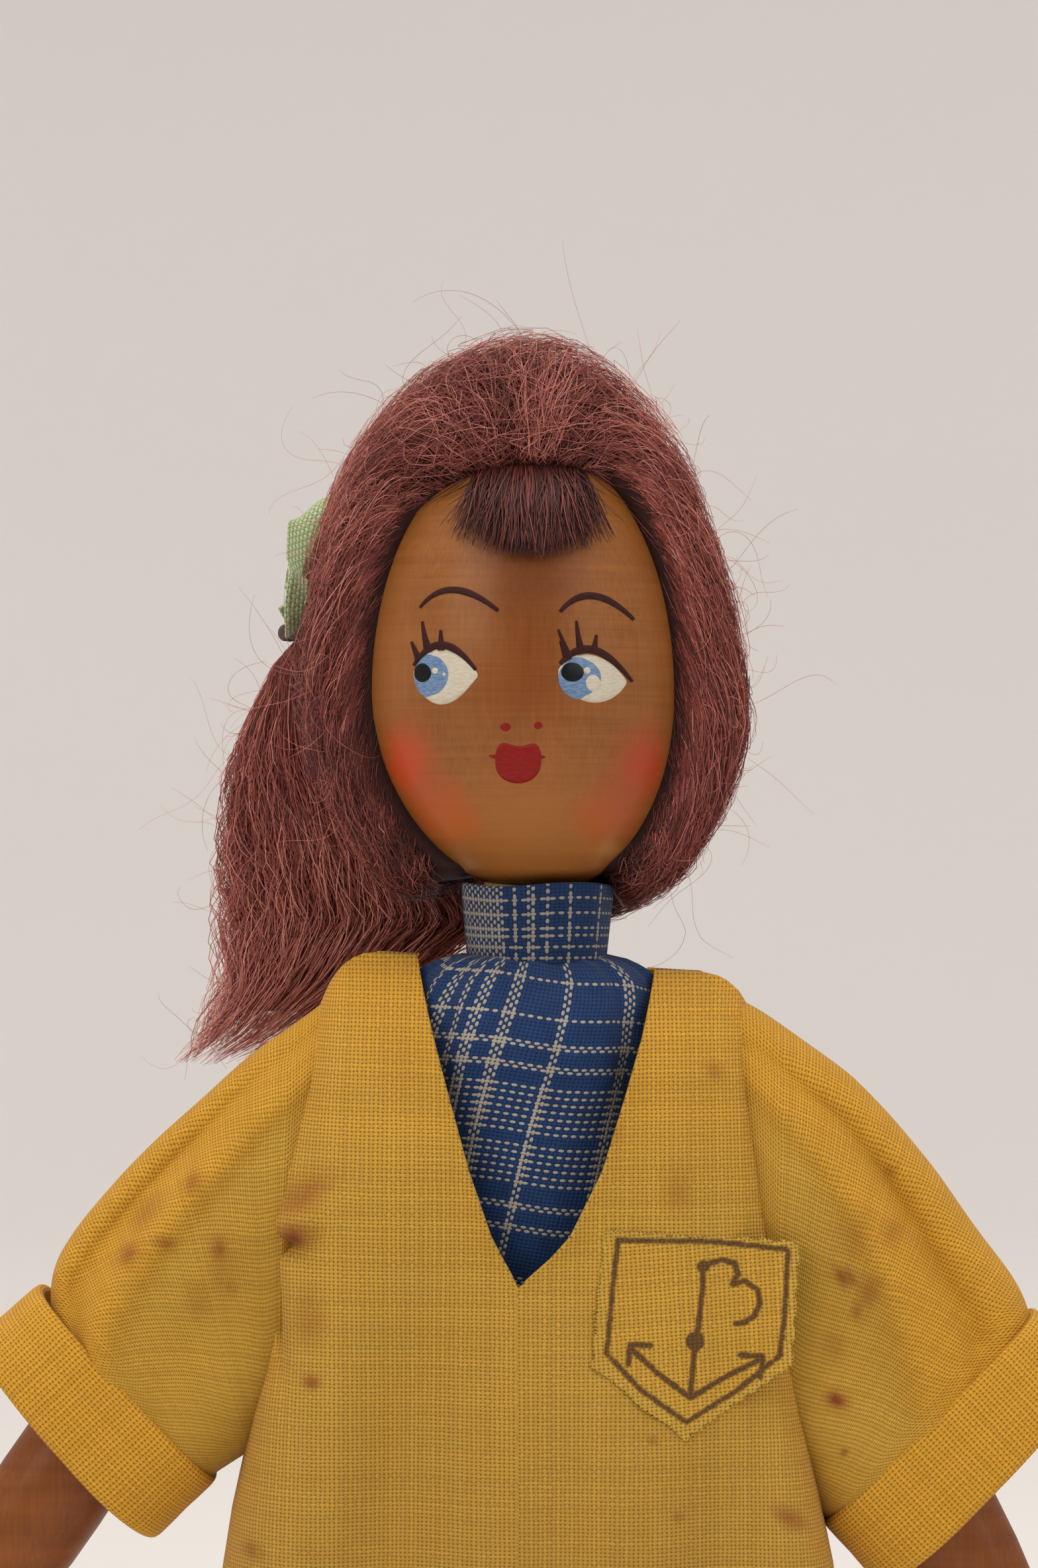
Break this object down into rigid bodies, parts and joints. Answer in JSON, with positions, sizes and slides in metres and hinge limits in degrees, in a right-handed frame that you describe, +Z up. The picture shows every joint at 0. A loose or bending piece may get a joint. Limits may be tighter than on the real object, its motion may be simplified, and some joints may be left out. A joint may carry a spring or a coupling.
{
  "type": "wooden costume doll",
  "caption": "Turned wooden girl doll with painted face, mohair pony-tail wig and sewn cotton smock; head, arms and legs turn on a dowel and pins.",
  "frame": {"origin": "on the floor, under the middle of the doll's bounding box", "axes": "+Z up, +X to the doll's left, -Y the way the doll faces"},
  "size_m": [0.1204, 0.0388, 0.2],
  "materials": {
    "bare_wood": "smooth turned, unfinished",
    "lacquered_wood": "clear satin lacquer over pale turned wood",
    "painted_wood": "gloss brown paint",
    "pin_steel": "plain wire",
    "checked_cotton": "blue and white checked plain weave",
    "yellow_cotton": "coarse plain weave",
    "navy_cotton": "fine twill",
    "mohair": "fine loose fibres, dyed plum brown",
    "green_ribbon": "woven ribbon, slight sheen",
    "tie_rubber": "matt"
  },
  "bodies": {
    "torso": {"torso": "bare_wood", "neck_dowel": "bare_wood", "left_shoulder_pin": "pin_steel", "right_shoulder_pin": "pin_steel", "hip_pin": "pin_steel", "shirt_bodice": "checked_cotton", "shirt_collar": "checked_cotton", "smock_body": "yellow_cotton", "smock_pocket": "yellow_cotton", "trouser_waist": "navy_cotton"},
    "head": {"head": "lacquered_wood", "wig_crown": "mohair", "left_side_hair": "mohair", "right_side_hair": "mohair", "fringe": "mohair", "ponytail": "mohair", "ponytail_tie": "tie_rubber", "ribbon_knot": "green_ribbon", "ribbon_loop_upper": "green_ribbon", "ribbon_loop_lower": "green_ribbon", "ribbon_tail_inner": "green_ribbon", "ribbon_tail_outer": "green_ribbon"},
    "left_arm": {"left_arm": "lacquered_wood", "left_sleeve": "yellow_cotton", "left_cuff": "yellow_cotton"},
    "right_arm": {"right_arm": "lacquered_wood", "right_sleeve": "yellow_cotton", "right_cuff": "yellow_cotton"},
    "left_leg": {"left_leg": "lacquered_wood", "left_shoe": "painted_wood", "left_trouser_leg": "navy_cotton", "left_turn_up": "navy_cotton"},
    "right_leg": {"right_leg": "lacquered_wood", "right_shoe": "painted_wood", "right_trouser_leg": "navy_cotton", "right_turn_up": "navy_cotton"}
  },
  "joints": [
    {"name": "head_turn", "type": "hinge", "parent": "torso", "child": "head", "pos_m": [0.00068, -0.00257, 0.14], "axis": [0, 0, 1], "range_deg": [-40, 30]},
    {"name": "left_shoulder_swing", "type": "hinge", "parent": "torso", "child": "left_arm", "pos_m": [0.01943, -0.00257, 0.127], "axis": [-1, 0, 0], "range_deg": [-30, 80]},
    {"name": "right_shoulder_swing", "type": "hinge", "parent": "torso", "child": "right_arm", "pos_m": [-0.01807, -0.00257, 0.127], "axis": [-1, 0, 0], "range_deg": [-30, 80]},
    {"name": "left_hip_swing", "type": "hinge", "parent": "torso", "child": "left_leg", "pos_m": [0.00983, -0.00257, 0.062], "axis": [-1, 0, 0], "range_deg": [-20, 85]},
    {"name": "right_hip_swing", "type": "hinge", "parent": "torso", "child": "right_leg", "pos_m": [-0.00847, -0.00257, 0.062], "axis": [-1, 0, 0], "range_deg": [-20, 85]}
  ]
}
